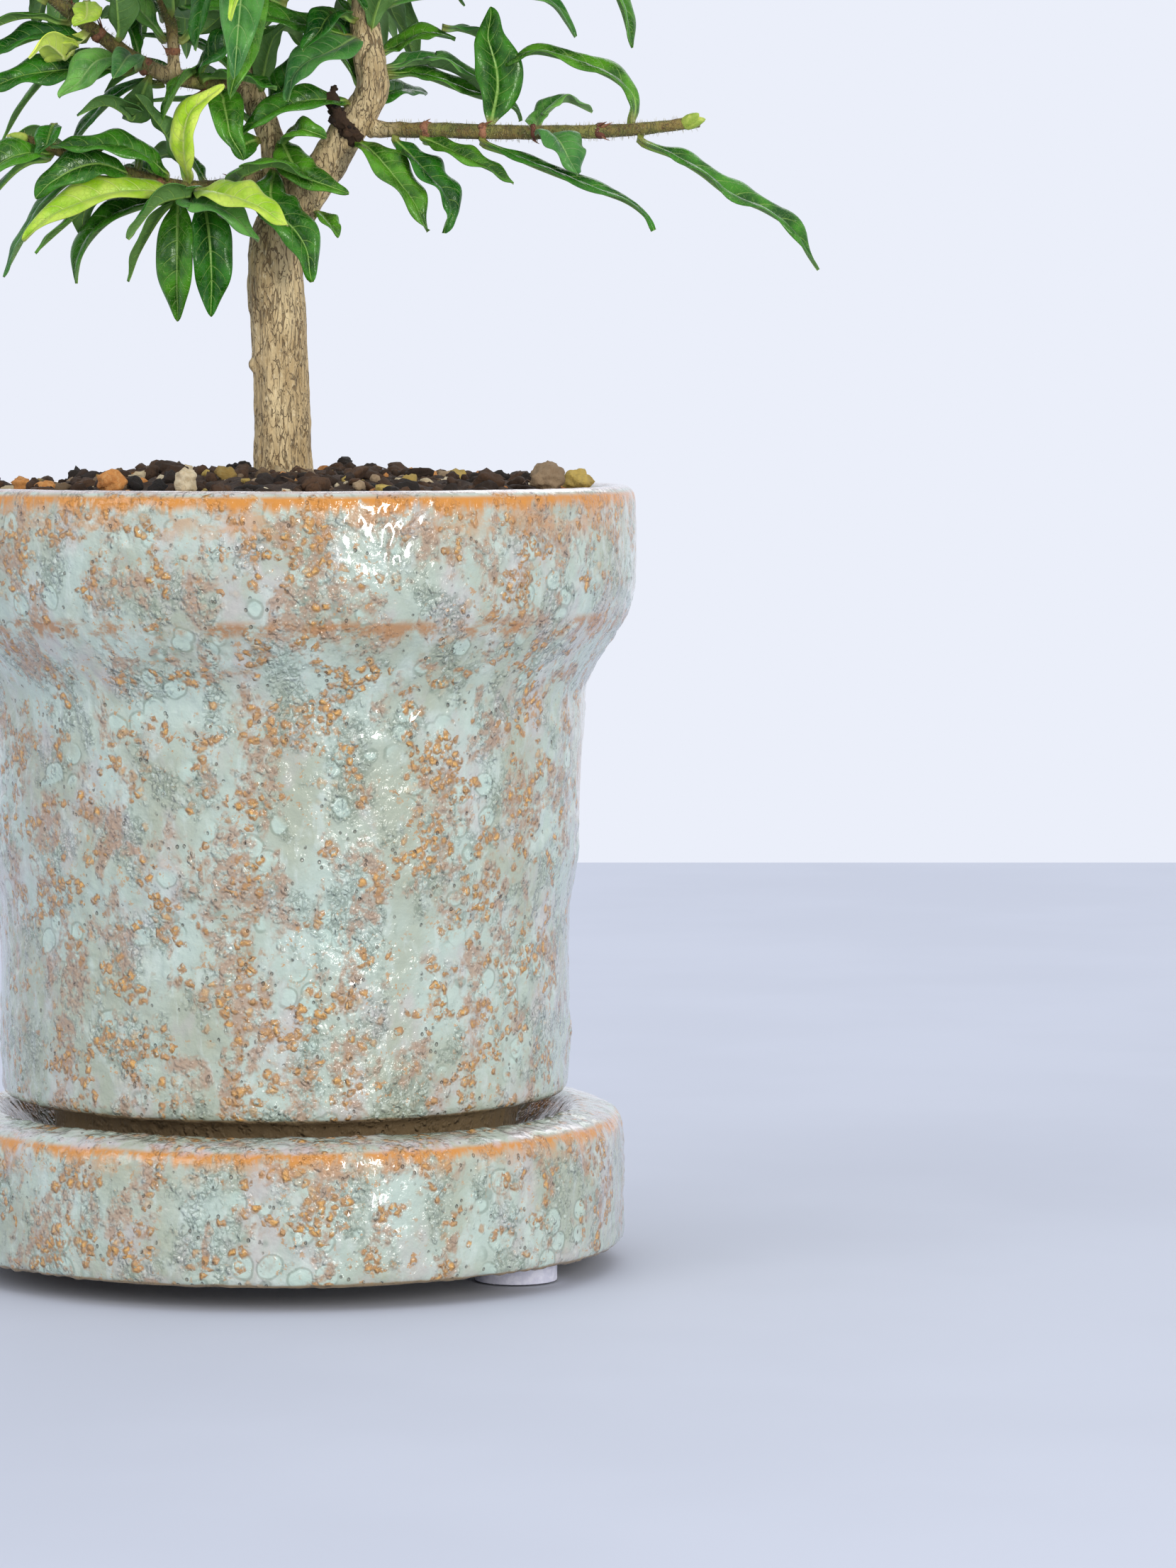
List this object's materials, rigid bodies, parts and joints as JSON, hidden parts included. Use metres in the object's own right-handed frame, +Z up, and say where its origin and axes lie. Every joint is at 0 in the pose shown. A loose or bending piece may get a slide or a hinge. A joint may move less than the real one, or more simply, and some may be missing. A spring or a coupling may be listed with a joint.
{
  "type": "potted bonsai tree",
  "caption": "Small leafy bonsai tree in a round glazed stoneware pot with a straight collar, standing on a matching round-shouldered saucer with stick-on pads.",
  "frame": {"origin": "on the surface that the saucer's pads stand on, under the pot's axis, which is also the middle of the whole object seen from above", "axes": "+Z up along the pot's axis; -Y faces the front that was pictured; +X to the right seen from the front, the way the long right-hand twig points"},
  "size_m": [0.169, 0.1482, 0.2545],
  "materials": {
    "celadon_glaze": "gloss",
    "white_pad": "matte",
    "potting_mix": "matte",
    "pumice": "matte",
    "mossy_stone": "matte",
    "akadama": "matte",
    "crumb": "matte",
    "bark": "matte",
    "green_twig": "matte",
    "mature_leaf": "satin",
    "young_leaf": "satin",
    "pale_leaf": "satin"
  },
  "bodies": {
    "root": {"branch_back": "green_twig", "branch_back_left": "green_twig", "branch_back_right": "green_twig", "branch_front": "green_twig", "branch_upper_left": "green_twig", "branch_upper_right": "green_twig", "foot_pad_1": "white_pad", "foot_pad_2": "white_pad", "foot_pad_3": "white_pad", "leaf_branch_back_1": "mature_leaf", "leaf_branch_back_left_1": "mature_leaf", "leaf_branch_back_right_1": "mature_leaf", "leaf_branch_front_1": "mature_leaf", "leaf_branch_upper_left_1": "mature_leaf", "leaf_branch_upper_left_2": "mature_leaf", "leaf_branch_upper_left_3": "pale_leaf", "leaf_branch_upper_left_4": "mature_leaf", "leaf_branch_upper_left_5": "mature_leaf", "leaf_branch_upper_left_6": "mature_leaf", "leaf_branch_upper_right_1": "mature_leaf", "leaf_branch_upper_right_2": "mature_leaf", "leaf_limb_left_1": "mature_leaf", "leaf_limb_left_2": "mature_leaf", "leaf_limb_left_3": "mature_leaf", "leaf_trunk_1": "mature_leaf", "leaf_trunk_2": "pale_leaf", "leaf_trunk_3": "mature_leaf", "leaf_trunk_4": "mature_leaf", "leaf_trunk_5": "pale_leaf", "leaf_trunk_6": "mature_leaf", "leaf_trunk_7": "young_leaf", "leaf_twig_left_1": "young_leaf", "leaf_twig_left_2": "young_leaf", "leaf_twig_left_3": "young_leaf", "leaf_twig_left_4": "mature_leaf", "leaf_twig_left_5": "mature_leaf", "leaf_twig_left_6": "mature_leaf", "leaf_twig_left_7": "mature_leaf", "leaf_twig_left_8": "mature_leaf", "leaf_twig_left_9": "mature_leaf", "leaf_twig_right_1": "mature_leaf", "leaf_twig_right_2": "mature_leaf", "leaf_twig_right_3": "mature_leaf", "leaf_twig_right_4": "mature_leaf", "leaf_twig_right_5": "pale_leaf", "leaf_twig_right_6": "mature_leaf", "leaf_twig_right_7": "mature_leaf", "leaf_twig_up_left_1": "mature_leaf", "limb_left": "bark", "pot": "celadon_glaze", "saucer": "celadon_glaze", "soil": "potting_mix", "stone_akadama": "akadama", "stone_crumb": "crumb", "stone_mossy": "mossy_stone", "stone_pumice": "pumice", "trunk": "bark", "twig_left": "green_twig", "twig_right": "green_twig", "twig_up_left": "green_twig"}
  },
  "joints": []
}
